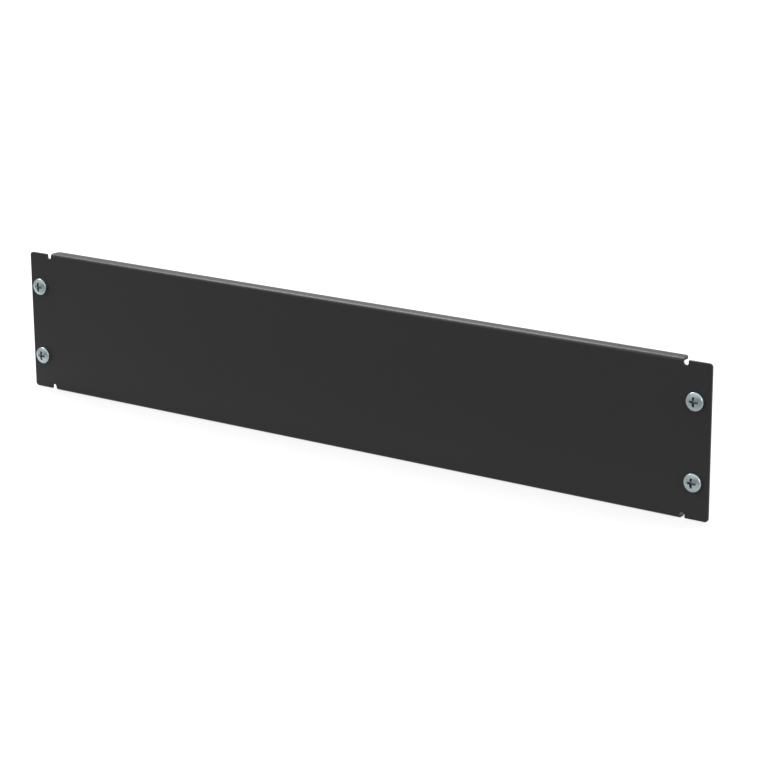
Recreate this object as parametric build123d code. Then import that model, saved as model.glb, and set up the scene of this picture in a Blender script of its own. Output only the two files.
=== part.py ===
from build123d import *
import os

# Rack blanking panel: one folded steel sheet held by four cross-recess pan-head screws.
# All sizes are in millimetres. X runs to the right, Y to the rear and Z up, and the origin is the
# middle of the screw pattern on the panel's rear face, which seats on the front of the rack.

# Rack standard
rack_unit_height = 44.45
units_covered = 2
panel_width = 482.6
screw_to_panel_end = 8.75
screw_to_rack_opening = 7.55

# Folded sheet
stacking_clearance = 0.8
sheet_thickness = 1.5
bend_inner_radius = 0.5
flange_depth = 7.7
flange_end_clearance = 0.9
flange_corner_radius = 3.0
ear_edge_inset = 0.65
ear_corner_radius = 2.0
relief_width = 3.2

# Screws with M6 thread
thread_diameter = 6.0
neck_diameter = 5.35
neck_length = 2.0
shank_length = 12.0
shank_end_chamfer = 0.9
head_diameter = 10.5
head_wall_height = 2.4
head_dome_radius = 10.0
head_edge_chamfer = 0.4
recess_span = 6.0
recess_wing_width = 1.35
recess_floor_span = 3.4
recess_depth = 2.4
recess_corner_radius = 0.35

# Slots in the ears that the screws pass through
slot_side_clearance = 0.4
slot_sideways_travel = 2.0

# Sizes that follow from the ones above
panel_height = units_covered * rack_unit_height - stacking_clearance
ear_height = panel_height - 2 * ear_edge_inset
screw_column_spacing = panel_width - 2 * screw_to_panel_end
rack_opening = screw_column_spacing - 2 * screw_to_rack_opening
flange_length = rack_opening - 2 * flange_end_clearance
front_face = -sheet_thickness
flange_rear_edge = front_face + flange_depth
bend_start = panel_height / 2 - sheet_thickness - bend_inner_radius
slot_width = thread_diameter + 2 * slot_side_clearance
slot_length = slot_width + slot_sideways_travel


def folded_channel():
    """The web and both flanges: the inner line of the fold, thickened outwards and run along X."""
    inner_top = panel_height / 2 - sheet_thickness
    fold = FilletPolyline(
        (flange_rear_edge, inner_top),
        (0, inner_top),
        (0, -inner_top),
        (flange_rear_edge, -inner_top),
        radius=bend_inner_radius,
    )
    section = make_face(offset(fold, amount=sheet_thickness, side=Side.RIGHT))
    channel = extrude(Plane.YZ * section, amount=flange_length / 2, both=True)
    rear_corners = channel.edges().filter_by(Axis.Z).group_by(Axis.Y)[-1]
    return fillet(rear_corners, flange_corner_radius)


def ears():
    """The flat ends that lie on the rack, a little lower than the channel, with round corners."""
    strip = RectangleRounded(panel_width, ear_height, ear_corner_radius)
    strip -= Rectangle(flange_length, panel_height)
    return extrude(Plane.XZ * strip, amount=sheet_thickness)


def bend_reliefs():
    """Round-bottomed notches between each flange end and the ear, centred where the bend starts."""
    notch_radius = relief_width / 2
    notch = Circle(notch_radius)
    notch += Rectangle(relief_width, panel_height, align=(Align.CENTER, Align.MIN))
    right_top = Pos(flange_length / 2 + notch_radius, bend_start) * notch
    top_pair = right_top + mirror(right_top, about=Plane.YZ)
    all_four = top_pair + mirror(top_pair, about=Plane.XZ)
    return extrude(Plane.XZ * all_four, amount=sheet_thickness)


def screw_places():
    """Name, X and Z of each screw: one at the middle hole of every rack unit, in both columns."""
    places = []
    for side, x in (("left", -screw_column_spacing / 2), ("right", screw_column_spacing / 2)):
        for level in range(units_covered):
            z = (level - (units_covered - 1) / 2) * rack_unit_height
            places.append((f"screw_{side}_{level + 1}", x, z))
    return places


def screw_slots():
    """Sideways slots through the ears, narrower than the heads that cover them."""
    outline = Sketch() + [Pos(x, z) * SlotOverall(slot_length, slot_width) for _, x, z in screw_places()]
    return extrude(Plane.XZ * outline, amount=sheet_thickness)


def build_panel():
    """The whole sheet as one solid."""
    return folded_channel() + ears() - bend_reliefs() - screw_slots()


def cross_recess(head_top):
    """Driver recess: a cross with round inner corners, narrowing from its mouth to its floor."""
    arms = Rectangle(recess_span, recess_wing_width) + Rectangle(recess_wing_width, recess_span)
    core = arms.vertices().sort_by_distance((0, 0))[:4]
    arms = fillet(core, recess_corner_radius)
    prism = Pos(0, 0, head_top) * extrude(arms, amount=-recess_depth)
    taper = Pos(0, 0, head_top) * Cone(
        recess_floor_span / 2,
        recess_span / 2,
        recess_depth,
        align=(Align.CENTER, Align.CENTER, Align.MAX),
    )
    return prism & taper


def build_screw():
    """One screw with its seat under the head at the origin, its head up and its shank down."""
    head_radius = head_diameter / 2
    dome_rise = head_dome_radius - (head_dome_radius**2 - head_radius**2) ** 0.5
    head_top = head_wall_height + dome_rise
    profile = Polyline(
        (0, head_top),
        (0, -shank_length),
        (thread_diameter / 2 - shank_end_chamfer, -shank_length),
        (thread_diameter / 2, -shank_length + shank_end_chamfer),
        (thread_diameter / 2, -neck_length),
        (neck_diameter / 2, -neck_length),
        (neck_diameter / 2, 0),
        (head_radius, 0),
        (head_radius, head_wall_height),
    )
    dome = RadiusArc((0, head_top), (head_radius, head_wall_height), head_dome_radius)
    outline = make_face(profile + dome)
    rim = outline.vertices().sort_by_distance((head_radius, head_wall_height))[0]
    outline = chamfer(rim, head_edge_chamfer)
    return revolve(Plane.XZ * outline, Axis.Z) - cross_recess(head_top)


def seated_screws():
    """Name and solid of each screw, turned to face the front and seated on the panel."""
    screw = build_screw()
    return [(name, Pos(x, front_face, z) * Rot(90, 0, 0) * screw) for name, x, z in screw_places()]


os.makedirs("parts", exist_ok=True)
export_step(build_panel(), "parts/panel.step")
for screw_name, screw_solid in seated_screws():
    export_step(screw_solid, f"parts/{screw_name}.step")
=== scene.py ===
"""Rack blanking panel: a folded, powder-coated steel sheet held by four zinc-plated screws."""

import logging
import math
from dataclasses import dataclass
from enum import Enum
from functools import partial
from typing import Any, Iterable, Sequence

import bmesh
import bpy
from mathutils import Matrix, Vector
from mathutils.geometry import delaunay_2d_cdt


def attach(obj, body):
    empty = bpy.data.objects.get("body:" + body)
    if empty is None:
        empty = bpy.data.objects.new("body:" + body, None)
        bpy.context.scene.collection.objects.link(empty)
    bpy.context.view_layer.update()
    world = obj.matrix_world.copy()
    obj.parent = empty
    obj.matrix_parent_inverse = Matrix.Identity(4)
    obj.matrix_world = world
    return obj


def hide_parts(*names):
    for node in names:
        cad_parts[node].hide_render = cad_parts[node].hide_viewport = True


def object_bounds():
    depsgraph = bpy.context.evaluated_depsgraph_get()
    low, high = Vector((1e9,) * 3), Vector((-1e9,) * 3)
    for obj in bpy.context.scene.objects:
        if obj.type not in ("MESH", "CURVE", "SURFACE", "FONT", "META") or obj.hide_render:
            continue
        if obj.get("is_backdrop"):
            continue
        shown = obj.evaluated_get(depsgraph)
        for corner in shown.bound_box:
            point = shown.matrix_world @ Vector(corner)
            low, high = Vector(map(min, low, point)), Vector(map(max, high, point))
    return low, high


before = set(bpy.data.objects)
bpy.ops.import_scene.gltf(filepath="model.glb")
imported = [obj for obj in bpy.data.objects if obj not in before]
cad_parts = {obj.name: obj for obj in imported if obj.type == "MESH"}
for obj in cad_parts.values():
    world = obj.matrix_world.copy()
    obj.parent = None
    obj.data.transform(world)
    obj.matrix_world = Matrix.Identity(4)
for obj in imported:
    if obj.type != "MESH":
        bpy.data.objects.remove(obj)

LOG = logging.getLogger("blanking_panel")
MM = 0.001
BODY = "root"
# Points that lie closer than this, in the unit at hand, count as one
SAME_POINT = 1e-6
# A mitred corner moves by no more than its inset over this
LEAST_MITRE = 0.5

# Sizes in millimetres that the sheet and its screws share
SHEET_THICKNESS = 1.5
SCREW_COLUMNS = 465.1
SCREW_ROWS = 44.45

# The kinds of node that are used most. A range node takes its value, both ends of the value's
# range and then both ends of the new one.
MATH = "ShaderNodeMath"
MIX = "ShaderNodeMix"
RANGE = "ShaderNodeMapRange"
NOISE = "ShaderNodeTexNoise"

Point = tuple[float, float]
Place = tuple[float, float, float]
Loop = list[Point]
Line = tuple[Point, Point]


class MadeAttribute(Enum):
    """Named values that the meshes carry for their finishes."""

    RIM = "rim"
    RECESS = "recess"


# Helpers for colours, nodes and meshes


def linear(colour: str) -> tuple[float, float, float, float]:
    """Turns an sRGB hex colour into linear light.

    Args:
        colour: The colour as #rrggbb.

    Returns:
        Red, green, blue and an alpha of one.
    """
    shares = [int(colour[i : i + 2], 16) / 255 for i in (1, 3, 5)]
    values = [s / 12.92 if s <= 0.04045 else ((s + 0.055) / 1.055) ** 2.4 for s in shares]
    return values[0], values[1], values[2], 1.0


def add_node(
    tree: bpy.types.NodeTree, kind: str, inputs: dict[str, Any] | Sequence[Any] = (), **settings: Any
) -> bpy.types.Node:
    """Adds a node with its settings, and sets or links its inputs.

    Args:
        tree: The tree that gets the node.
        kind: The node's type.
        inputs: What each input gets, by its identifier or name, or in order: a value, another
            node's output, or a node, which stands for its first output in use.
        settings: Properties of the node itself.

    Returns:
        The new node.
    """
    node = tree.nodes.new(kind)
    for name, value in settings.items():
        setattr(node, name, value)
    for key, value in inputs.items() if isinstance(inputs, dict) else enumerate(inputs):
        named = [s for s in node.inputs if s.identifier == key]
        socket = named[0] if named else node.inputs[key]
        if isinstance(value, bpy.types.Node):
            value = next(s for s in value.outputs if s.enabled)
        if isinstance(value, bpy.types.NodeSocket):
            tree.links.new(value, socket)
        else:
            socket.default_value = value
    return node


def new_geometry_tree(name: str, sizes: Iterable[str]) -> tuple[bpy.types.NodeTree, bpy.types.Node]:
    """Starts a Geometry Nodes tree with a geometry input, named number inputs and a material.

    Args:
        name: The tree's name.
        sizes: Names of its number inputs.

    Returns:
        The tree and its group input node.
    """
    tree = bpy.data.node_groups.new(name, "GeometryNodeTree")
    tree.interface.new_socket("Geometry", in_out="INPUT", socket_type="NodeSocketGeometry")
    for size in sizes:
        tree.interface.new_socket(size, in_out="INPUT", socket_type="NodeSocketFloat")
    tree.interface.new_socket("Finish", in_out="INPUT", socket_type="NodeSocketMaterial")
    tree.interface.new_socket("Geometry", in_out="OUTPUT", socket_type="NodeSocketGeometry")
    return tree, add_node(tree, "NodeGroupInput")


def end_geometry_tree(tree: bpy.types.NodeTree, geometry: bpy.types.Node, start: bpy.types.Node) -> None:
    """Ends a tree with real geometry in its finish.

    Args:
        tree: The tree.
        geometry: The node that gives its geometry.
        start: Its group input node.
    """
    real = add_node(tree, "GeometryNodeRealizeInstances", {"Geometry": geometry})
    dressed = add_node(
        tree, "GeometryNodeSetMaterial", {"Geometry": real, "Material": start.outputs["Finish"]}
    )
    add_node(tree, "NodeGroupOutput", {"Geometry": dressed})


def run_geometry_tree(
    name: str,
    start: bpy.types.Mesh,
    tree: bpy.types.NodeTree,
    sizes: dict[str, float],
    material: bpy.types.Material,
) -> bpy.types.Object:
    """Runs a tree on a mesh and keeps the result as a plain mesh object.

    Args:
        name: The new object's name.
        start: The mesh that the tree starts from.
        tree: The Geometry Nodes tree.
        sizes: Its number inputs by name, in millimetres.
        material: The finish that it puts on.

    Returns:
        The object, with no modifier left on it.
    """
    piece = bpy.data.objects.new(name, start)
    bpy.context.scene.collection.objects.link(piece)
    modifier = piece.modifiers.new(tree.name, "NODES")
    modifier.node_group = tree
    values = {size: value * MM for size, value in sizes.items()} | {"Finish": material}
    for item in tree.interface.items_tree:
        if item.item_type == "SOCKET" and item.in_out == "INPUT" and item.name in values:
            modifier[item.identifier] = values[item.name]
    depsgraph = bpy.context.evaluated_depsgraph_get()
    made = bpy.data.meshes.new_from_object(
        piece.evaluated_get(depsgraph), preserve_all_data_layers=True, depsgraph=depsgraph
    )
    piece.modifiers.remove(modifier)
    made.name = name
    piece.data = made
    bpy.data.meshes.remove(start)
    return piece


def arc(centre: Point, radius: float, start: float, end: float, steps: int) -> Loop:
    """Places points on a circle's arc.

    Args:
        centre: The arc's centre.
        radius: Its radius.
        start: The first angle in degrees.
        end: The last angle in degrees.
        steps: The number of straight steps between them.

    Returns:
        Steps plus one points.
    """
    angles = [math.radians(start + (end - start) * k / steps) for k in range(steps + 1)]
    return [(centre[0] + radius * math.cos(a), centre[1] + radius * math.sin(a)) for a in angles]


def inset(loop: Loop, distance: float) -> Loop:
    """Moves a closed outline to its left by a distance, with mitred corners.

    Args:
        loop: Points of the outline, with the material on their left.
        distance: How far each side moves.

    Returns:
        The moved points, in the same order.
    """
    moved: Loop = []
    for before, here, after in zip(loop[-1:] + loop[:-1], loop, loop[1:] + loop[:1]):
        first = (Vector(here) - Vector(before)).normalized()
        second = (Vector(after) - Vector(here)).normalized()
        left = Vector((-first.y - second.y, first.x + second.x)).normalized()
        reach = distance / max(left.dot(Vector((-first.y, first.x))), LEAST_MITRE)
        moved.append((here[0] + left.x * reach, here[1] + left.y * reach))
    return moved


def encloses(sides: Sequence[Line], corners: Sequence[Point]) -> bool:
    """Says whether the middle of some corners lies inside outlines, by an odd number of crossings.

    Args:
        sides: Both ends of each side of the outlines.
        corners: The points whose middle is tested.

    Returns:
        True for a middle inside the outer outline and outside the holes.
    """
    x, y = (sum(corner[axis] for corner in corners) / len(corners) for axis in (0, 1))
    crossings = 0
    for (ax, ay), (bx, by) in sides:
        if (ay > y) != (by > y) and x < ax + (y - ay) * (bx - ax) / (by - ay):
            crossings += 1
    return crossings % 2 == 1


def triangles(loops: Sequence[Loop], inner: Loop, rows: Sequence[Line]) -> tuple[Loop, list[list[int]]]:
    """Triangulates the area between outlines, with extra points and rows inside it.

    Args:
        loops: Closed outlines: the outer one and those of the holes.
        inner: Extra points.
        rows: Pairs of inner points or outline points that an edge has to join.

    Returns:
        All points, with those of the outlines first and in order, and the triangles of the area.
    """
    points: Loop = []
    edges: list[tuple[int, int]] = []
    for loop in loops:
        first = len(points)
        points += loop
        edges += [(first + k, first + (k + 1) % len(loop)) for k in range(len(loop))]
    sides = [(points[a], points[b]) for a, b in edges]
    points += inner
    place = {p: i for i, p in enumerate(points)}
    edges += [(place[a], place[b]) for a, b in rows]
    flat = [Vector(p) for p in points]
    made, _, faces, origins, _, _ = delaunay_2d_cdt(flat, edges, [], 0, SAME_POINT)
    source = [o[0] for o in origins]
    assert len(made) == len(points) and sorted(source) == list(range(len(points)))
    named = [[source[i] for i in face] for face in faces]
    return points, [face for face in named if encloses(sides, [points[i] for i in face])]


def add_vertices(mesh: bmesh.types.BMesh, places: Iterable[Place]) -> list[bmesh.types.BMVert]:
    """Adds a vertex at each of some places in millimetres and returns the vertices in order."""
    return [mesh.verts.new((x * MM, y * MM, z * MM)) for x, y, z in places]


def add_rings(mesh: bmesh.types.BMesh, rings: Sequence[Sequence[bmesh.types.BMVert]]) -> None:
    """Joins each closed ring to the next one with four-sided faces.

    Args:
        mesh: The surface that gets the faces.
        rings: Rings of as many vertices each.
    """
    for low, high in zip(rings[:-1], rings[1:]):
        count = len(low)
        for k in range(count):
            mesh.faces.new((low[k], low[(k + 1) % count], high[(k + 1) % count], high[k]))


def finished_mesh(mesh: bmesh.types.BMesh, name: str, sharp_angle: float) -> bpy.types.Mesh:
    """Drops loose vertices, turns all faces outwards and writes a smooth mesh.

    Args:
        mesh: The closed surface.
        name: The new mesh's name.
        sharp_angle: Edges that turn by more degrees than this stay sharp.

    Returns:
        The mesh.
    """
    bmesh.ops.delete(mesh, geom=[v for v in mesh.verts if not v.link_faces], context="VERTS")
    bmesh.ops.recalc_face_normals(mesh, faces=mesh.faces)
    for face in mesh.faces:
        face.smooth = True
    made = bpy.data.meshes.new(name)
    mesh.to_mesh(made)
    mesh.free()
    made.set_sharp_from_angle(angle=math.radians(sharp_angle))
    return made


# Finishes


@dataclass(frozen=True)
class Finish:
    """What all finishes share: a name, and a material made of each one's own nodes."""

    name: str = "finish"

    def surface(self, tree: bpy.types.NodeTree) -> bpy.types.Node:
        """Adds the finish's nodes to a tree and returns the last shader of them."""
        raise NotImplementedError

    def material(self) -> bpy.types.Material:
        """Builds the node material.

        Returns:
            The material.
        """
        material = bpy.data.materials.new(self.name)
        material.use_nodes = True
        tree = material.node_tree
        tree.nodes.clear()
        add_node(tree, "ShaderNodeOutputMaterial", {"Surface": self.surface(tree)})
        return material


@dataclass(frozen=True)
class PowderCoat(Finish):
    """Polyester powder coat on steel, sprayed dry and baked.

    It gives the eye an even satin black that turns grey at a flat angle, with the shallow
    dimples of a baked coat, and it is a little thinner and smoother on the sheet's edges, which are painted
    lighter, partly as a painted highlight.
    """

    name: str = "powder_coat_satin_black"
    colour: str = "#313131"
    # The cut edges' colour is lighter for the thinner coat and partly as a painted highlight
    thin_edge_and_highlight_colour: str = "#383838"
    roughness_low: float = 0.34
    roughness_high: float = 0.38
    edge_roughness: float = 0.3
    specular: float = 0.3
    # Dimples of a baked coat are about 1 mm apart and a few thousandths deep
    dimple_spacing: float = 1.1
    dimple_depth: float = 0.006
    # The gun's passes leave broad bands of slightly different gloss
    band_spacing: float = 60.0
    # Most of the noise that draws them lies between these values
    band_low: float = 0.3
    band_high: float = 0.7

    def surface(self, tree: bpy.types.NodeTree) -> bpy.types.Node:
        """Adds the coat: bands of gloss, lighter rims where it is thin that are partly a painted highlight,
        and dimples.

        Args:
            tree: The material's tree.

        Returns:
            The shader node.
        """
        add = partial(add_node, tree)
        place = add("ShaderNodeTexCoord").outputs["Object"]
        rim = add("ShaderNodeAttribute", attribute_name=MadeAttribute.RIM.value).outputs["Fac"]
        bands = add(NOISE, {"Vector": place, "Scale": 1 / (self.band_spacing * MM), "Detail": 2.0})
        gloss = add(RANGE, [bands, self.band_low, self.band_high, self.roughness_low, self.roughness_high])
        roughness = add(MIX, {"Factor_Float": rim, "A_Float": gloss, "B_Float": self.edge_roughness})
        # Painted highlight: the rim of the cut edges is mixed towards a lighter colour, partly for the
        # thinner coat
        colour = add(
            MIX,
            {"Factor_Float": rim, "A_Color": linear(self.colour), "B_Color": linear(self.thin_edge_and_highlight_colour)},
            data_type="RGBA",
        )
        dimples = add(NOISE, {"Vector": place, "Scale": 1 / (self.dimple_spacing * MM), "Detail": 1.0})
        bump = add("ShaderNodeBump", {"Height": dimples, "Distance": self.dimple_depth * MM})
        return add(
            "ShaderNodeBsdfPrincipled",
            {
                "Base Color": colour,
                "Roughness": roughness,
                "Specular IOR Level": self.specular,
                "Normal": bump,
            },
        )


@dataclass(frozen=True)
class BrightZinc(Finish):
    """Electroplated zinc with a clear passivation on cold-formed steel.

    It gives the eye a cool bright metal, slightly clouded by its fine crystals, with soft
    highlights, and the driver recess is coloured darker as painted shade.
    """

    name: str = "zinc_plate_clear_passivated"
    colour: str = "#cbd8dc"
    cloud_colour: str = "#bccacf"
    # Painted shade: the driver recess is coloured darker than the plate
    recess_shade_colour: str = "#8a969a"
    roughness_low: float = 0.21
    roughness_high: float = 0.3
    # Crystals of plated zinc are far too fine to show, so the clouding is drawn 0.7 mm wide
    cloud_spacing: float = 0.7
    cloud_depth: float = 0.0008
    # Most of the noise that draws it lies between these values
    cloud_low: float = 0.25
    cloud_high: float = 0.75

    def surface(self, tree: bpy.types.NodeTree) -> bpy.types.Node:
        """Adds the plating: clouds of colour and gloss, and painted shade in the recess.

        Args:
            tree: The material's tree.

        Returns:
            The shader node.
        """
        add = partial(add_node, tree)
        place = add("ShaderNodeTexCoord").outputs["Object"]
        recess = add("ShaderNodeAttribute", attribute_name=MadeAttribute.RECESS.value).outputs["Fac"]
        clouds = add(NOISE, {"Vector": place, "Scale": 1 / (self.cloud_spacing * MM), "Detail": 1.0})
        share = add(RANGE, [clouds, self.cloud_low, self.cloud_high])
        plate = add(
            MIX,
            {"Factor_Float": share, "A_Color": linear(self.colour), "B_Color": linear(self.cloud_colour)},
            data_type="RGBA",
        )
        # Painted shade: the recess attribute mixes the plate towards a darker colour
        colour = add(
            MIX,
            {"Factor_Float": recess, "A_Color": plate, "B_Color": linear(self.recess_shade_colour)},
            data_type="RGBA",
        )
        roughness = add(RANGE, {"Value": share, "To Min": self.roughness_low, "To Max": self.roughness_high})
        bump = add("ShaderNodeBump", {"Height": clouds, "Distance": self.cloud_depth * MM})
        return add(
            "ShaderNodeBsdfPrincipled",
            {"Base Color": colour, "Metallic": 1.0, "Roughness": roughness, "Normal": bump},
        )


@dataclass(frozen=True)
class PaintedBoard(Finish):
    """Matt grey board under the object. It looks pure white and keeps a soft shadow.

    What the camera sees of it is lifted to white, more so far from the object. Gloss shows a
    share of that lift beside and behind the object, and the plain board in front of it.
    """

    name: str = "painted_board_matt"
    colour: str = "#969696"
    roughness: float = 0.9
    lift_near: float = 0.74
    lift_far: float = 0.88
    # The lift grows between these distances from the object's middle, in millimetres
    near: float = 350.0
    far: float = 1500.0
    # Gloss shows no lift in front of the first depth and this share of it behind the second
    dark_depth: float = -100.0
    bright_depth: float = -18.0
    gloss_share: float = 0.5

    def surface(self, tree: bpy.types.NodeTree) -> bpy.types.Node:
        """Adds the board and the glow that lifts it.

        Args:
            tree: The material's tree.

        Returns:
            The shader node.
        """
        add = partial(add_node, tree)
        board = add(
            "ShaderNodeBsdfPrincipled",
            {"Base Color": linear(self.colour), "Roughness": self.roughness, "Specular IOR Level": 0.0},
        )
        place = add("ShaderNodeTexCoord").outputs["Object"]
        reach = add("ShaderNodeVectorMath", [place], operation="LENGTH")
        lift = add(RANGE, [reach, self.near * MM, self.far * MM, self.lift_near, self.lift_far])
        depth = add("ShaderNodeSeparateXYZ", [place]).outputs["Y"]
        behind = add(RANGE, [depth, self.dark_depth * MM, self.bright_depth * MM, 0.0, self.gloss_share])
        strength = add(MATH, [seen_directly(tree, behind), lift], operation="MULTIPLY")
        glow = add("ShaderNodeEmission", {"Strength": strength})
        return add("ShaderNodeAddShader", [board, glow])


def seen_directly(tree: bpy.types.NodeTree, gloss_share: bpy.types.Node) -> bpy.types.Node:
    """Finds how much of a white background a ray sees.

    Args:
        tree: The shader tree.
        gloss_share: The node that gives the share left in gloss.

    Returns:
        A node that gives one for the camera and through glass, and the share in gloss.
    """
    add = partial(add_node, tree)
    path = add("ShaderNodeLightPath").outputs
    gloss = add(MATH, [path["Is Glossy Ray"], gloss_share], operation="MULTIPLY")
    direct = add(MATH, [path["Is Camera Ray"], path["Is Transmission Ray"]], operation="MAXIMUM")
    return add(MATH, [gloss, direct], operation="MAXIMUM")


# Sub-assemblies


@dataclass
class FoldedSheet:
    """The panel: one sheet cut flat with its reliefs and slots, then folded along two lines.

    All sizes are in millimetres. The flat sheet lies in X and Z, its front face is at minus its
    thickness in Y and its rear face at zero. The fold turns both long strips to the rear.
    """

    width: float = 482.6
    height: float = 88.1
    thickness: float = SHEET_THICKNESS
    bend_inner_radius: float = 0.5
    flange_depth: float = 7.7
    flange_length: float = 448.2
    flange_corner_radius: float = 3.0
    ear_height: float = 86.8
    ear_corner_radius: float = 2.0
    relief_width: float = 3.2
    relief_lip_radius: float = 0.3
    slot_width: float = 6.8
    slot_length: float = 8.8
    neutral_line: float = 0.42
    coat_radius: float = 0.22
    # How finely the sheet's edges and curves are divided, and where the points on its flats lie
    ear_end_steps: int = 3
    coat_steps: int = 3
    bend_steps: int = 12
    corner_steps: int = 10
    support: float = 0.04
    column_spacing: float = 32.0
    column_margin: float = 1.0
    web_row_spacing: float = 14.0
    web_rows_aside: int = 2
    sharp_angle: float = 60.0

    @property
    def bend_start(self) -> float:
        """Height on the flat sheet at which the bend starts."""
        return self.height / 2 - self.thickness - self.bend_inner_radius

    @property
    def bend_length(self) -> float:
        """Length of the bend's neutral line."""
        return (self.bend_inner_radius + self.neutral_line * self.thickness) * math.pi / 2

    @property
    def flat_edge(self) -> float:
        """Height of the long edge on the flat sheet."""
        straight = self.flange_depth - self.thickness - self.bend_inner_radius
        return self.bend_start + self.bend_length + straight

    def bend_heights(self) -> list[float]:
        """Heights of the rows across one bend, with a support row after it."""
        rows = [self.bend_start + self.bend_length * k / self.bend_steps for k in range(self.bend_steps + 1)]
        return rows + [rows[-1] + self.support]

    def columns(self) -> list[float]:
        """Places the rows' inner points along X, over the flanges' length.

        Returns:
            Evenly spaced places from left to right.
        """
        reach = self.flange_length / 2 - self.flange_corner_radius - self.column_margin
        count = 2 * round(reach / self.column_spacing)
        return [-reach + 2 * reach * k / count for k in range(count + 1)]

    def quarter(self) -> Loop:
        """Outlines the flat sheet's upper right quarter.

        Returns:
            Points from the ear's end to the top edge.
        """
        half, ear = self.width / 2, self.ear_height / 2
        round_end, lip, relief = self.ear_corner_radius, self.relief_lip_radius, self.relief_width / 2
        end, corner = self.flange_length / 2, self.flange_corner_radius
        points: Loop = [(half, ear * k / self.ear_end_steps) for k in range(1, self.ear_end_steps)]
        points += arc((half - round_end, ear - round_end), round_end, 0, 90, self.corner_steps)
        points += arc((end + 2 * relief + lip, ear - lip), lip, 90, 180, self.corner_steps // 2)
        points += arc((end + relief, self.bend_start), relief, 0, -180, 2 * self.corner_steps)
        points += [(end, height) for height in self.bend_heights()[1:]]
        points += arc((end - corner, self.flat_edge - corner), corner, 0, 90, self.corner_steps)
        points += [(x, self.flat_edge) for x in reversed(self.columns()) if 0 < x]
        return points

    def outline(self) -> Loop:
        """Outlines the whole flat sheet.

        Returns:
            Points with the material on their left.
        """
        quarter = self.quarter()
        back = quarter[::-1]
        upper_left = [(-x, z) for x, z in back]
        lower_left = [(-x, -z) for x, z in quarter]
        return quarter + upper_left + lower_left + [(x, -z) for x, z in back]

    def slot_outline(self, x: float, z: float) -> Loop:
        """Outlines the screw slot round a place.

        Args:
            x: The slot's middle in X.
            z: Its middle in Z.

        Returns:
            Points with the material on their left.
        """
        radius, offset = self.slot_width / 2, (self.slot_length - self.slot_width) / 2
        ends = arc((x - offset, z), radius, 270, 90, 2 * self.corner_steps)
        return ends + arc((x + offset, z), radius, 90, -90, 2 * self.corner_steps)

    def coat_profile(self) -> list[Point]:
        """Rounds the cut edge under its coat.

        Returns:
            Inset from the cut edge and place in Y of each ring, from the front to the rear.
        """
        radius, steps = self.coat_radius, self.coat_steps
        turns = [math.pi / 2 * k / steps for k in range(steps + 1)]
        front = [(radius * (1 - math.sin(a)), radius * (1 - math.cos(a)) - self.thickness) for a in turns]
        rear = [(depth, -self.thickness - y) for depth, y in reversed(front)]
        flat = radius + self.support
        return [(flat, -self.thickness)] + front + rear + [(flat, 0.0)]

    def inner_rows(self, outline: Loop) -> tuple[Loop, list[Line]]:
        """Places the points inside the sheet and joins them along the bends.

        Args:
            outline: The sheet's outline, on which the bends' rows end.

        Returns:
            The points, and the pairs of points that an edge has to join.
        """
        across = self.columns()
        web_rows = range(-self.web_rows_aside, self.web_rows_aside + 1)
        inner = [(x, self.web_row_spacing * k) for x in across for k in web_rows]
        rows: list[Line] = []
        end = self.flange_length / 2
        heights = [self.bend_start - self.support] + self.bend_heights()
        for side in (-1, 1):
            for level, height in enumerate(heights):
                line = [(x, side * height) for x in across]
                inner += line
                if level > 0:
                    near = [p for p in outline if abs(p[1] - side * height) < self.support / 2]
                    ends = [p for p in near if abs(p[0]) < end]
                    line = [min(ends)] + line + [max(ends)]
                rows += list(zip(line[:-1], line[1:]))
        return inner, rows

    def blank(self) -> bpy.types.Mesh:
        """Cuts the flat sheet.

        Returns:
            A closed mesh in metres, with rounded cut edges.
        """
        half_x, half_z = SCREW_COLUMNS / 2, SCREW_ROWS / 2
        places = [(x, z) for x in (-half_x, half_x) for z in (-half_z, half_z)]
        loops = [self.outline()] + [self.slot_outline(x, z) for x, z in places]
        profile = self.coat_profile()
        flat_loops = [inset(loop, profile[0][0]) for loop in loops]
        points, faces = triangles(flat_loops, *self.inner_rows(flat_loops[0]))

        mesh = bmesh.new()
        rim = mesh.verts.layers.float.new(MadeAttribute.RIM.value)
        front = add_vertices(mesh, [(x, -self.thickness, z) for x, z in points])
        rear = add_vertices(mesh, [(x, 0.0, z) for x, z in points])
        for face in faces:
            mesh.faces.new([front[i] for i in face])
            mesh.faces.new([rear[i] for i in reversed(face)])
        first = 0
        for loop in loops:
            last = first + len(loop)
            rings = [front[first:last]]
            for depth, y in profile[1:-1]:
                ring = add_vertices(mesh, [(x, y, z) for x, z in inset(loop, depth)])
                # Rim marks the cut edges, which the coat paints lighter, partly as a painted highlight
                for vertex in ring:
                    vertex[rim] = 1.0 if depth < self.coat_radius / 2 else 0.0
                rings.append(ring)
            add_rings(mesh, rings + [rear[first:last]])
            first = last
        return finished_mesh(mesh, "flat_sheet", self.sharp_angle)

    def tree_sizes(self) -> dict[str, float]:
        """Sizes that the fold's tree takes, by the names of its inputs."""
        return {
            "Bend start": self.bend_start,
            "Inner radius": self.bend_inner_radius,
            "Bend length": self.bend_length,
            "Fold reach": (self.flange_length + self.relief_width) / 2,
        }

    def fold_tree(self) -> bpy.types.NodeTree:
        """Builds the tree that folds a flat sheet along two lines parallel to X, between the ears.

        Returns:
            The Geometry Nodes tree.
        """
        tree, start = new_geometry_tree("fold_two_flanges", self.tree_sizes())
        add = partial(add_node, tree)
        bend_start, inner, length, reach = (start.outputs[name] for name in self.tree_sizes())
        place = add("GeometryNodeInputPosition")
        flat = add("ShaderNodeSeparateXYZ", [place]).outputs
        aside = add(MATH, [flat["X"]], operation="ABSOLUTE")
        between = add(MATH, [aside, reach], operation="LESS_THAN")
        side = add(MATH, [flat["Z"]], operation="SIGN")
        height = add(MATH, [flat["Z"]], operation="ABSOLUTE")

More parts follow.
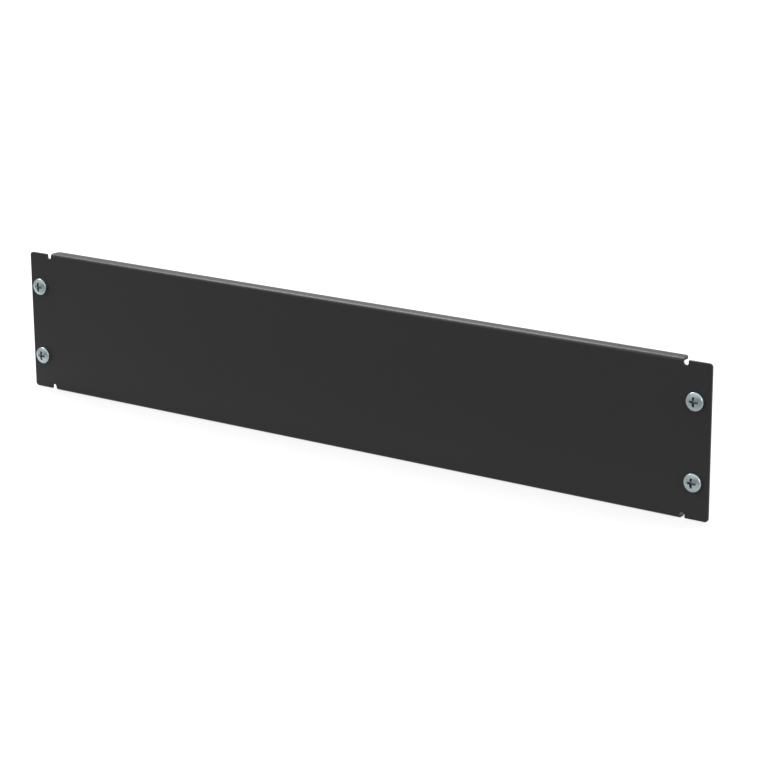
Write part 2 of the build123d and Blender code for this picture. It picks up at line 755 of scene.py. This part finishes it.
        # The way along the sheet past the bend's start is first the bend's, then the flange's
        web = add(MATH, [height, bend_start], operation="MINIMUM")
        past = add(MATH, [height, bend_start], operation="SUBTRACT")
        share = add(MATH, [past, length], operation="DIVIDE", use_clamp=True)
        angle = add(MATH, [share, math.pi / 2], operation="MULTIPLY")
        over = add(MATH, [past, length], operation="SUBTRACT")
        straight = add(MATH, [over, 0.0], operation="MAXIMUM")

        # Each point turns round the bend's axis, further out the nearer it is to the front face
        radius = add(MATH, [inner, flat["Y"]], operation="SUBTRACT")
        sine = add(MATH, [angle], operation="SINE")
        cosine = add(MATH, [angle], operation="COSINE")
        rise = add(MATH, [radius, sine, web], operation="MULTIPLY_ADD")
        drop = add(MATH, [radius, cosine], operation="MULTIPLY")
        depth = add(MATH, [inner, drop], operation="SUBTRACT")
        folded_y = add(MATH, [depth, straight], operation="ADD")
        folded_z = add(MATH, [rise, side], operation="MULTIPLY")
        folded = add("ShaderNodeCombineXYZ", {"X": flat["X"], "Y": folded_y, "Z": folded_z})
        moved = add(
            "GeometryNodeSetPosition",
            {"Geometry": start.outputs["Geometry"], "Selection": between, "Position": folded},
        )
        end_geometry_tree(tree, moved, start)
        return tree

    def build(self, finish: Finish) -> bpy.types.Object:
        """Cuts, folds and coats the sheet and returns the panel."""
        tree = self.fold_tree()
        return run_geometry_tree("folded_panel", self.blank(), tree, self.tree_sizes(), finish.material())

    def dress(self, piece: bpy.types.Object) -> None:
        """Puts the panel on its body, in place of the plain one.

        Args:
            piece: The panel.
        """
        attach(piece, BODY)
        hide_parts("panel")


@dataclass
class PanHeadScrews:
    """Four cross-recess pan-head screws, two in each ear of the sheet.

    All sizes are in millimetres. One screw is made with its seat at the origin and its head up.
    """

    head_diameter: float = 10.5
    wall_height: float = 2.4
    dome_radius: float = 10.0
    edge_radius: float = 0.95
    seat_chamfer: float = 0.15
    recess_span: float = 6.0
    recess_floor_span: float = 3.4
    recess_wing_width: float = 1.35
    recess_depth: float = 2.4
    recess_corner_radius: float = 0.35
    recess_lip: float = 0.07
    recess_point: float = 0.35
    thread_diameter: float = 6.0
    thread_pitch: float = 1.0
    thread_depth: float = 0.613
    # Half widths of the flats at the thread's root and crest, in pitches
    root_half_width: float = 0.125
    crest_half_width: float = 0.0625
    neck_diameter: float = 5.35
    neck_length: float = 2.0
    shank_length: float = 12.0
    end_chamfer: float = 0.9
    # How finely the screw's curves are divided, and where the points on its dome lie
    around: int = 96
    edge_steps: int = 6
    wing_end_steps: int = 4
    wing_corner_steps: int = 3
    reach_tries: int = 20
    dome_rings: int = 14
    first_ring_points: int = 12
    points_more_each_ring: int = 6
    recess_margin: float = 0.18
    thread_around: int = 60
    rows_per_turn: int = 8
    sharp_angle: float = 38.0

    @property
    def head_top(self) -> float:
        """Height of the dome's middle above the seat."""
        radius = self.head_diameter / 2
        return self.wall_height + self.dome_radius - math.sqrt(self.dome_radius**2 - radius**2)

    def dome_height(self, x: float, y: float) -> float:
        """Height of the dome's surface above the seat."""
        middle = self.head_top - self.dome_radius
        return middle + math.sqrt(self.dome_radius**2 - x**2 - y**2)

    def wing_reach(self, height: float) -> float:
        """How far the recess's wings reach from the axis at a height above the seat."""
        slope = (self.recess_span - self.recess_floor_span) / 2 / self.recess_depth
        return self.recess_span / 2 - (self.head_top - height) * slope

    def circle(self, radius: float) -> Loop:
        """Closed ring of points round the screw's axis."""
        return arc((0.0, 0.0), radius, 0, 360, self.around)[:-1]

    def cross(self, reach: float) -> Loop:
        """Outlines the cross recess.

        Args:
            reach: How far its wings reach from the axis.

        Returns:
            Points with the head's metal on their left.
        """
        half, corner = self.recess_wing_width / 2, self.recess_corner_radius
        swing = math.degrees(math.asin(half / reach))
        quarter = arc((0.0, 0.0), reach, swing, -swing, self.wing_end_steps)
        quarter += arc((half + corner, -half - corner), corner, 90, 180, self.wing_corner_steps)
        points: Loop = []
        for turn in range(4):
            angle = -math.pi / 2 * turn
            cosine, sine = math.cos(angle), math.sin(angle)
            points += [(x * cosine - y * sine, x * sine + y * cosine) for x, y in quarter]
        return points

    def mouth_reach(self) -> float:
        """Finds the reach of the wings where the recess meets the dome.

        Returns:
            The reach, closer with each try.
        """
        reach = self.recess_span / 2
        for _ in range(self.reach_tries):
            reach = self.wing_reach(self.dome_height(reach, 0.0))
        return reach

    def near_recess(self, x: float, y: float) -> bool:
        """Says whether a point of the dome lies in the recess or within its margin.

        Args:
            x: The point's first coordinate.
            y: Its second one.

        Returns:
            True for a point that the dome leaves out.
        """
        margin, corner = self.recess_margin, self.recess_corner_radius
        half = self.recess_wing_width / 2 + margin
        if math.hypot(x, y) > self.mouth_reach() + margin:
            return False
        narrow, wide = sorted((abs(x), abs(y)))
        if narrow < half:
            return True
        gap = Vector((half + corner - narrow, half + corner - wide))
        return wide < half + corner and gap.length > corner

    def dome_points(self, edge: float) -> Loop:
        """Places the points of the dome in rings.

        Args:
            edge: Radius of the dome's edge.

        Returns:
            Points inside the edge and clear of the recess.
        """
        points: Loop = []
        for k in range(1, self.dome_rings):
            count = self.first_ring_points + self.points_more_each_ring * k
            ring = arc((0.0, 0.0), edge * k / self.dome_rings, 0, 360, count)[:-1]
            points += [p for p in ring if not self.near_recess(*p)]
        return points

    def rim_profile(self) -> list[Point]:
        """Rounds the head's rim.

        Returns:
            Radius and height of each ring from the dome's edge down to the seat.
        """
        radius, edge = self.head_diameter / 2, self.edge_radius
        middle = self.head_top - self.dome_radius
        lift = math.sqrt((self.dome_radius - edge) ** 2 - (radius - edge) ** 2)
        first = math.degrees(math.atan2(lift, radius - edge))
        rings = arc((radius - edge, middle + lift), edge, first, 0, self.edge_steps)
        seat = [(radius - self.seat_chamfer, 0.0), (self.neck_diameter / 2, 0.0)]
        return rings + [(radius, self.seat_chamfer)] + seat

    def head(self) -> bpy.types.Mesh:
        """Builds one head: dome, recess, rim and seat.

        Returns:
            A closed mesh in metres.
        """
        rim = self.rim_profile()
        reach = self.mouth_reach()
        mouth = self.cross(reach)
        lip = inset(mouth, self.recess_lip)
        edge = rim[0][0]
        points, faces = triangles([self.circle(edge), lip], self.dome_points(edge), [])

        mesh = bmesh.new()
        recess = mesh.verts.layers.float.new(MadeAttribute.RECESS.value)
        dome = add_vertices(mesh, [(x, y, self.dome_height(x, y)) for x, y in points])
        for face in faces:
            mesh.faces.new([dome[i] for i in face])
        rings = [dome[: self.around]]
        for radius, height in rim[1:]:
            rings.append(add_vertices(mesh, [(x, y, height) for x, y in self.circle(radius)]))
        add_rings(mesh, rings)
        mesh.faces.new(rings[-1])

        # The recess: its mouth under the lip, half its depth, its floor and the point below that
        lowered = [(x, y, self.dome_height(x, y) - self.recess_lip) for x, y in mouth]
        levels = [add_vertices(mesh, lowered)]
        top, floor = self.dome_height(reach, 0.0), self.head_top - self.recess_depth
        for share in (0.5, 1.0):
            height = top + (floor - top) * share
            outline = self.cross(self.wing_reach(height))
            levels.append(add_vertices(mesh, [(x, y, height) for x, y in outline]))
        point = add_vertices(mesh, [(0.0, 0.0, floor - self.recess_point)])[0]
        # The recess attribute marks where the zinc finish paints shade
        for vertex in [point] + [v for level in levels for v in level]:
            vertex[recess] = 1.0
        add_rings(mesh, [dome[self.around : self.around + len(lip)]] + levels)
        bottom = levels[-1]
        for k in range(len(bottom)):
            mesh.faces.new((bottom[k], bottom[(k + 1) % len(bottom)], point))
        return finished_mesh(mesh, "screw_head", self.sharp_angle)

    def tree_sizes(self) -> dict[str, float]:
        """Sizes that the screws' tree takes, by the names of its inputs."""
        return {
            "Crest radius": self.thread_diameter / 2,
            "Thread depth": self.thread_depth,
            "Pitch": self.thread_pitch,
            "Neck radius": self.neck_diameter / 2,
            "Neck length": self.neck_length,
            "Shank length": self.shank_length,
            "End chamfer": self.end_chamfer,
            "Columns apart": SCREW_COLUMNS,
            "Rows apart": SCREW_ROWS,
            "Seat": -SHEET_THICKNESS,
        }

    def add_shank(self, tree: bpy.types.NodeTree, start: bpy.types.Node) -> bpy.types.Node:
        """Adds the nodes of a threaded shank below the seat.

        Args:
            tree: The tree that gets the nodes.
            start: Its group input node.

        Returns:
            The node that gives the shank's geometry.
        """
        add = partial(add_node, tree)
        crest, deep, pitch, neck, neck_length, length, chamfer, *_ = (
            start.outputs[name] for name in self.tree_sizes()
        )

        # A grid whose rows follow the thread: U runs round the shank, V from the neck to the end.
        # One more row lies at the seat, and one more at the end closes it at the axis.
        turns = math.ceil((self.shank_length - self.neck_length) / self.thread_pitch) + 1
        thread_rows = turns * self.rows_per_turn
        row_steps = thread_rows + 2
        grid = add(
            "GeometryNodeMeshGrid",
            {"Size X": 1.0, "Size Y": 1.0, "Vertices X": self.thread_around + 1, "Vertices Y": row_steps + 1},
        )
        place = add("GeometryNodeInputPosition")
        spot = add("ShaderNodeSeparateXYZ", [place]).outputs
        round_share = add(MATH, [spot["X"], 0.5], operation="ADD")
        angle = add(MATH, [round_share, 2 * math.pi], operation="MULTIPLY")
        down_share = add(MATH, [0.5, spot["Y"]], operation="SUBTRACT")
        row = add(MATH, [down_share, float(row_steps), -1.0], operation="MULTIPLY_ADD")
        turn = add(MATH, [row, float(self.rows_per_turn)], operation="DIVIDE")

        # Height: rows sink by one pitch a turn and rise by one pitch round the shank
        sink = add(MATH, [round_share, turn], operation="SUBTRACT")
        sunk = add(MATH, [sink, pitch], operation="MULTIPLY")
        free = add(MATH, [sunk, neck_length], operation="SUBTRACT")
        top = add(MATH, [neck_length, -1.0], operation="MULTIPLY")
        end = add(MATH, [length, -1.0], operation="MULTIPLY")
        below = add(MATH, [free, top], operation="MINIMUM")
        kept = add(MATH, [below, end], operation="MAXIMUM")
        first = add(MATH, [row, -0.5], operation="LESS_THAN")
        height = add(MIX, {"Factor_Float": first, "A_Float": kept, "B_Float": 0.0})

        # Radius: a flat-topped ridge by phase, less than the lead-in at the neck and at the end
        phase = add(MATH, [turn], operation="FRACT")
        swing = add(MATH, [phase, 0.5], operation="PINGPONG")
        cut_share = add(RANGE, [swing, self.root_half_width, 0.5 - self.crest_half_width, 1.0, 0.0])
        cut = add(MATH, [cut_share, deep], operation="MULTIPLY")
        thread = add(MATH, [crest, cut], operation="SUBTRACT")
        from_end = add(MATH, [kept, length], operation="ADD")
        narrow = add(MATH, [crest, chamfer], operation="SUBTRACT")
        lead = add(MATH, [narrow, from_end], operation="ADD")
        limited = add(MATH, [thread, lead], operation="MINIMUM")
        from_neck = add(MATH, [top, kept], operation="SUBTRACT")
        grown = add(MATH, [from_neck, pitch], operation="DIVIDE", use_clamp=True)
        radius = add(MIX, {"Factor_Float": grown, "A_Float": neck, "B_Float": limited})
        before_last = add(MATH, [row, thread_rows + 0.5], operation="LESS_THAN")
        open_radius = add(MATH, [radius, before_last], operation="MULTIPLY")

        cosine = add(MATH, [angle], operation="COSINE")
        sine = add(MATH, [angle], operation="SINE")
        across = add(MATH, [open_radius, cosine], operation="MULTIPLY")
        along = add(MATH, [open_radius, sine], operation="MULTIPLY")
        wrapped = add("ShaderNodeCombineXYZ", {"X": across, "Y": along, "Z": height})
        shank = add("GeometryNodeSetPosition", {"Geometry": grid, "Position": wrapped})
        welded = add("GeometryNodeMergeByDistance", {"Geometry": shank, "Distance": SAME_POINT})
        return add("GeometryNodeSetShadeSmooth", {"Geometry": welded, "Shade Smooth": False})

    def screw_tree(self) -> bpy.types.NodeTree:
        """Builds the tree that adds a threaded shank to a head and sets screws in two columns.

        Returns:
            The Geometry Nodes tree.
        """
        tree, start = new_geometry_tree("threaded_screws", self.tree_sizes())
        add = partial(add_node, tree)
        shank = self.add_shank(tree, start)
        screw = add("GeometryNodeJoinGeometry", {"Geometry": start.outputs["Geometry"]})
        tree.links.new(shank.outputs["Geometry"], screw.inputs["Geometry"])

        # Four seats: two columns of two, on the front face of the sheet
        seats = add(
            "GeometryNodeMeshGrid",
            {
                "Size X": start.outputs["Columns apart"],
                "Size Y": start.outputs["Rows apart"],
                "Vertices X": 2,
                "Vertices Y": 2,
            },
        )
        forward = add("ShaderNodeCombineXYZ", {"Y": start.outputs["Seat"]})
        to_front = (math.pi / 2, 0.0, 0.0)
        upright = add(
            "GeometryNodeTransform", {"Geometry": seats, "Translation": forward, "Rotation": to_front}
        )
        placed = add(
            "GeometryNodeInstanceOnPoints", {"Points": upright, "Instance": screw, "Rotation": to_front}
        )
        end_geometry_tree(tree, placed, start)
        return tree

    def build(self, finish: Finish) -> bpy.types.Object:
        """Makes, sets and plates the four screws and returns them as one piece."""
        tree = self.screw_tree()
        return run_geometry_tree("pan_head_screws", self.head(), tree, self.tree_sizes(), finish.material())

    def dress(self, piece: bpy.types.Object) -> None:
        """Puts the screws on their body, in place of the plain ones.

        Args:
            piece: The four screws.
        """
        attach(piece, BODY)
        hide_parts("screw_left_1", "screw_left_2", "screw_right_1", "screw_right_2")


# Camera, light and floor


@dataclass
class StudioCamera:
    """The camera's place round the object, in degrees and millimetres."""

    azimuth: float = 35.544
    elevation: float = 15.742
    roll: float = -0.342
    aside: float = 29.12
    above: float = -9.54
    distance: float = 1424.86
    lens: float = 113.275

    def build(self) -> None:
        """Makes the scene's camera."""
        turn, lift, roll = (math.radians(a) for a in (self.azimuth, self.elevation, self.roll))
        back = Vector((math.sin(turn) * math.cos(lift), -math.cos(turn) * math.cos(lift), math.sin(lift)))
        level = Vector((math.cos(turn), math.sin(turn), 0.0))
        upright = back.cross(level)
        right = level * math.cos(roll) + upright * math.sin(roll)
        up = upright * math.cos(roll) - level * math.sin(roll)
        place = (right * self.aside + up * self.above + back * self.distance) * MM
        data = bpy.data.cameras.new("camera")
        data.lens = self.lens
        camera = bpy.data.objects.new("camera", data)
        camera.matrix_world = Matrix.Translation(place) @ Matrix((right, up, back)).transposed().to_4x4()
        bpy.context.scene.collection.objects.link(camera)
        bpy.context.scene.camera = camera


@dataclass(frozen=True)
class SoftLamp:
    """A rectangular soft lamp aimed at the object's middle, in metres and watts."""

    name: str
    place: Place
    width: float
    height: float
    power: float

    def build(self) -> None:
        """Makes the lamp, level along its width."""
        lamp = bpy.data.lights.new(self.name, "AREA")
        lamp.shape = "RECTANGLE"
        lamp.size, lamp.size_y = self.width, self.height
        lamp.energy = self.power
        holder = bpy.data.objects.new(self.name, lamp)
        holder.location = self.place
        holder.rotation_euler = (-Vector(self.place)).to_track_quat("-Z", "Y").to_euler()
        bpy.context.scene.collection.objects.link(holder)


@dataclass
class Studio:
    """A floor under the object, a surround that looks white, and soft lamps, in metres."""

    floor_half: float = 3.0
    floor_cells: int = 6
    surround_colour: str = "#ffffff"
    surround: float = 0.8
    # Gloss shows a dark room low in front: the share left there, the direction of its middle, and
    # the cosines to that direction between which it turns to white
    dark_share: float = 0.15
    dark_middle: Place = (0.0, -0.93, -0.36)
    dark_cosine: float = 0.94
    bright_cosine: float = 0.76
    # It also shows a greyer wall low down, which turns to white between these rises of a direction
    wall_share: float = 0.58
    wall_rise: float = 0.3
    white_rise: float = 0.7
    # The first lamp lights the bend along the top edge, and the second one the screws' right rims
    lamps: tuple[SoftLamp, ...] = (
        SoftLamp("rear_top_lamp", (-0.72, 0.35, 1.05), 1.4, 0.5, 17.5),
        SoftLamp("right_lamp", (1.3, -0.6, 0.45), 0.6, 0.6, 3.0),
    )

    def lay_floor(self, height: float, board: PaintedBoard) -> None:
        """Lays the floor under the object.

        Args:
            height: Height of the floor in metres.
            board: The floor's finish.
        """
        mesh = bmesh.new()
        bmesh.ops.create_grid(
            mesh,
            x_segments=self.floor_cells,
            y_segments=self.floor_cells,
            size=self.floor_half,
            matrix=Matrix.Translation((0.0, 0.0, height)),
        )
        data = bpy.data.meshes.new("floor")
        mesh.to_mesh(data)
        mesh.free()
        floor = bpy.data.objects.new("floor", data)
        data.materials.append(board.material())
        bpy.context.scene.collection.objects.link(floor)
        floor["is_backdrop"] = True

    def light_surround(self) -> None:
        """Makes the world: white to the camera, and as the fields say in gloss."""
        world = bpy.data.worlds.new("white_surround")
        bpy.context.scene.world = world
        world.use_nodes = True
        tree = world.node_tree
        tree.nodes.clear()
        add = partial(add_node, tree)
        direction = add("ShaderNodeTexCoord").outputs["Generated"]
        frontal = add("ShaderNodeVectorMath", [direction, self.dark_middle], operation="DOT_PRODUCT")
        beside_front = add(RANGE, [frontal, self.dark_cosine, self.bright_cosine, self.dark_share])
        rise = add("ShaderNodeSeparateXYZ", [direction]).outputs["Z"]
        above_wall = add(RANGE, [rise, self.wall_rise, self.white_rise, self.wall_share])
        in_gloss = add(MATH, [beside_front, above_wall], operation="MULTIPLY")
        diffuse = add("ShaderNodeLightPath").outputs["Is Diffuse Ray"]
        seen = seen_directly(tree, in_gloss)
        spread = add(MATH, [diffuse, self.surround, seen], operation="MULTIPLY_ADD")
        sky = add("ShaderNodeBackground", {"Color": linear(self.surround_colour), "Strength": spread})
        add("ShaderNodeOutputWorld", {"Surface": sky})

    def build(self, floor_height: float, board: PaintedBoard) -> None:
        """Makes the floor, the surround and the lamps.

        Args:
            floor_height: Height of the floor in metres.
            board: The floor's finish.
        """
        self.lay_floor(floor_height, board)
        self.light_surround()
        for lamp in self.lamps:
            lamp.build()


def main() -> None:
    """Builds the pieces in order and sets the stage."""
    logging.basicConfig(level=logging.INFO, format="%(name)s: %(message)s")
    plain_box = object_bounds()
    bpy.context.scene.view_settings.view_transform = "Standard"
    StudioCamera().build()
    Studio().build(plain_box[0].z, PaintedBoard())
    for assembly, finish in ((FoldedSheet(), PowderCoat()), (PanHeadScrews(), BrightZinc())):
        piece = assembly.build(finish)
        assembly.dress(piece)
        LOG.info("%s has %d faces", piece.name, len(piece.data.polygons))


if __name__ == "__main__":
    main()
